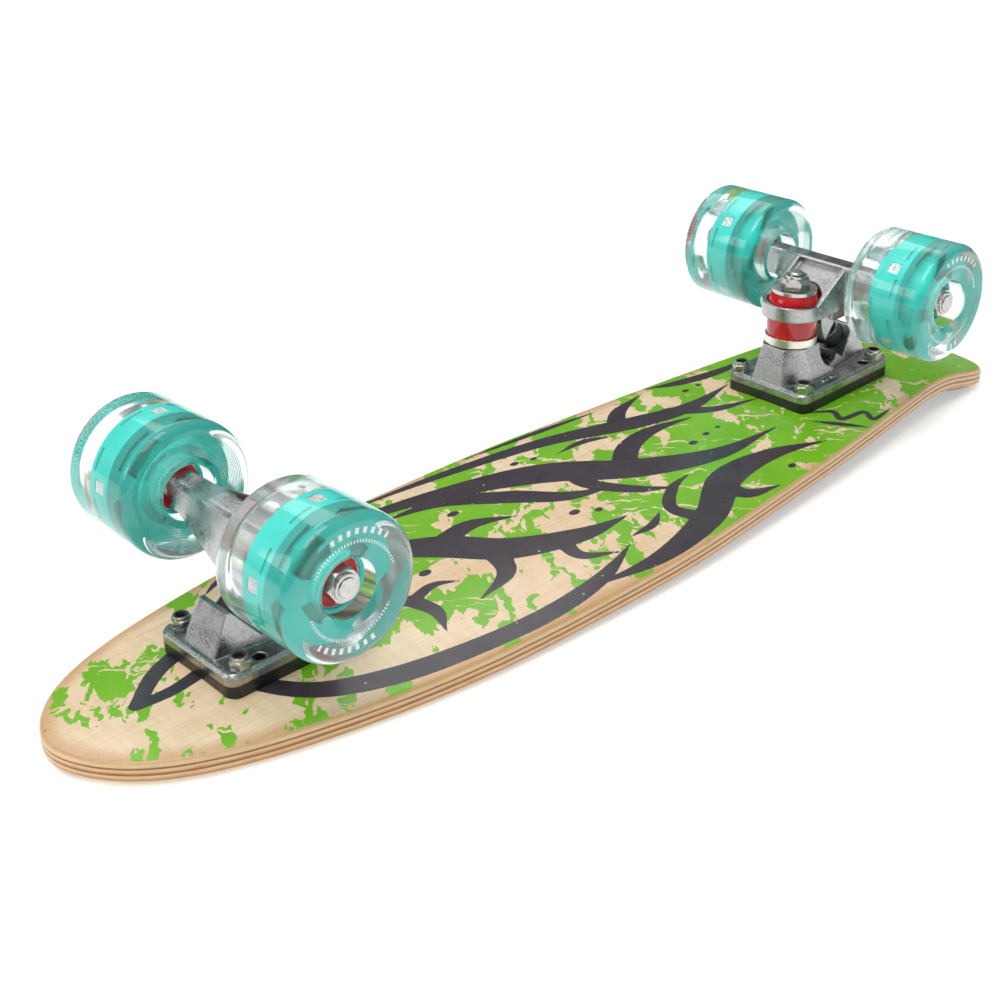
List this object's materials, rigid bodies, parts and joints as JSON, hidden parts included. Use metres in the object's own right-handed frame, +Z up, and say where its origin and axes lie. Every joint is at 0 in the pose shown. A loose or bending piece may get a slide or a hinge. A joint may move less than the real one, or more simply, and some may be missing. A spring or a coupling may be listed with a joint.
{
  "type": "skateboard",
  "caption": "Mini cruiser skateboard with a kicked tail, cast trucks on riser pads and light-up urethane wheels, lying wheels up.",
  "frame": {"origin": "the middle of the box round the board in plan, at the lowest point of the grip surface it lies on, wheels up", "axes": "+X from the nose to the tail, +Y across the board, +Z up from the grip side towards the wheels"},
  "size_m": [0.57, 0.1514, 0.1146],
  "materials": {
    "maple_deck": "seven maple plies, clear lacquer over printed colour",
    "grip": "abrasive grit on adhesive film",
    "black_rubber": "moulded, matt",
    "cast_aluminium": "tumbled casting with polished edges",
    "red_urethane": "translucent cast urethane",
    "zinc_steel": "bright zinc plate",
    "bearing_steel": "ground bearing steel",
    "red_shield": "moulded seal",
    "magnet_steel": "nickel plate",
    "clear_urethane": "clear cast urethane",
    "teal_core": "translucent moulded nylon",
    "led_board": "light-emitting module"
  },
  "bodies": {
    "board": {"deck": "maple_deck", "grip_tape": "grip", "nose_baseplate": "cast_aluminium", "nose_kingpin": "zinc_steel", "nose_kingpin_nut": "zinc_steel", "nose_lower_bushing": "red_urethane", "nose_lower_cup_washer": "zinc_steel", "nose_mounting_bolts": "zinc_steel", "nose_mounting_nuts": "zinc_steel", "nose_pivot_cup": "black_rubber", "nose_riser_pad": "black_rubber", "nose_upper_bushing": "red_urethane", "nose_upper_cup_washer": "zinc_steel", "tail_baseplate": "cast_aluminium", "tail_kingpin": "zinc_steel", "tail_kingpin_nut": "zinc_steel", "tail_lower_bushing": "red_urethane", "tail_lower_cup_washer": "zinc_steel", "tail_mounting_bolts": "zinc_steel", "tail_mounting_nuts": "zinc_steel", "tail_pivot_cup": "black_rubber", "tail_riser_pad": "black_rubber", "tail_upper_bushing": "red_urethane", "tail_upper_cup_washer": "zinc_steel"},
    "nose_truck_hanger": {"nose_axle": "zinc_steel", "nose_axle_nuts": "zinc_steel", "nose_axle_washers": "zinc_steel", "nose_bearing_inner_races": "bearing_steel", "nose_hanger": "cast_aluminium", "nose_magnet_spacers": "magnet_steel"},
    "nose_left_wheel": {"nose_left_bearing_balls": "bearing_steel", "nose_left_bearing_outer_races": "bearing_steel", "nose_left_bearing_shields": "red_shield", "nose_left_core": "teal_core", "nose_left_led_modules": "led_board", "nose_left_tyre": "clear_urethane"},
    "nose_right_wheel": {"nose_right_bearing_balls": "bearing_steel", "nose_right_bearing_outer_races": "bearing_steel", "nose_right_bearing_shields": "red_shield", "nose_right_core": "teal_core", "nose_right_led_modules": "led_board", "nose_right_tyre": "clear_urethane"},
    "tail_truck_hanger": {"tail_axle": "zinc_steel", "tail_axle_nuts": "zinc_steel", "tail_axle_washers": "zinc_steel", "tail_bearing_inner_races": "bearing_steel", "tail_hanger": "cast_aluminium", "tail_magnet_spacers": "magnet_steel"},
    "tail_left_wheel": {"tail_left_bearing_balls": "bearing_steel", "tail_left_bearing_outer_races": "bearing_steel", "tail_left_bearing_shields": "red_shield", "tail_left_core": "teal_core", "tail_left_led_modules": "led_board", "tail_left_tyre": "clear_urethane"},
    "tail_right_wheel": {"tail_right_bearing_balls": "bearing_steel", "tail_right_bearing_outer_races": "bearing_steel", "tail_right_bearing_shields": "red_shield", "tail_right_core": "teal_core", "tail_right_led_modules": "led_board", "tail_right_tyre": "clear_urethane"}
  },
  "joints": [
    {"name": "nose_steer", "type": "hinge", "parent": "board", "child": "nose_truck_hanger", "pos_m": [-0.201, 0, 0.0448], "axis": [0.7891, 0, 0.6143], "range_deg": [-12, 12], "stiffness_Nm_per_rad": 20, "deforming": ["nose_lower_bushing", "nose_upper_bushing"]},
    {"name": "nose_left_spin", "type": "hinge", "parent": "nose_truck_hanger", "child": "nose_left_wheel", "pos_m": [-0.194, -0.05305, 0.0846], "axis": [0, 1, 0], "continuous": true},
    {"name": "nose_right_spin", "type": "hinge", "parent": "nose_truck_hanger", "child": "nose_right_wheel", "pos_m": [-0.194, 0.05305, 0.0846], "axis": [0, 1, 0], "continuous": true},
    {"name": "tail_steer", "type": "hinge", "parent": "board", "child": "tail_truck_hanger", "pos_m": [0.188, 0, 0.0448], "axis": [-0.7891, 0, 0.6143], "range_deg": [-12, 12], "stiffness_Nm_per_rad": 20, "deforming": ["tail_lower_bushing", "tail_upper_bushing"]},
    {"name": "tail_left_spin", "type": "hinge", "parent": "tail_truck_hanger", "child": "tail_left_wheel", "pos_m": [0.181, -0.05305, 0.0846], "axis": [0, 1, 0], "continuous": true},
    {"name": "tail_right_spin", "type": "hinge", "parent": "tail_truck_hanger", "child": "tail_right_wheel", "pos_m": [0.181, 0.05305, 0.0846], "axis": [0, 1, 0], "continuous": true}
  ]
}
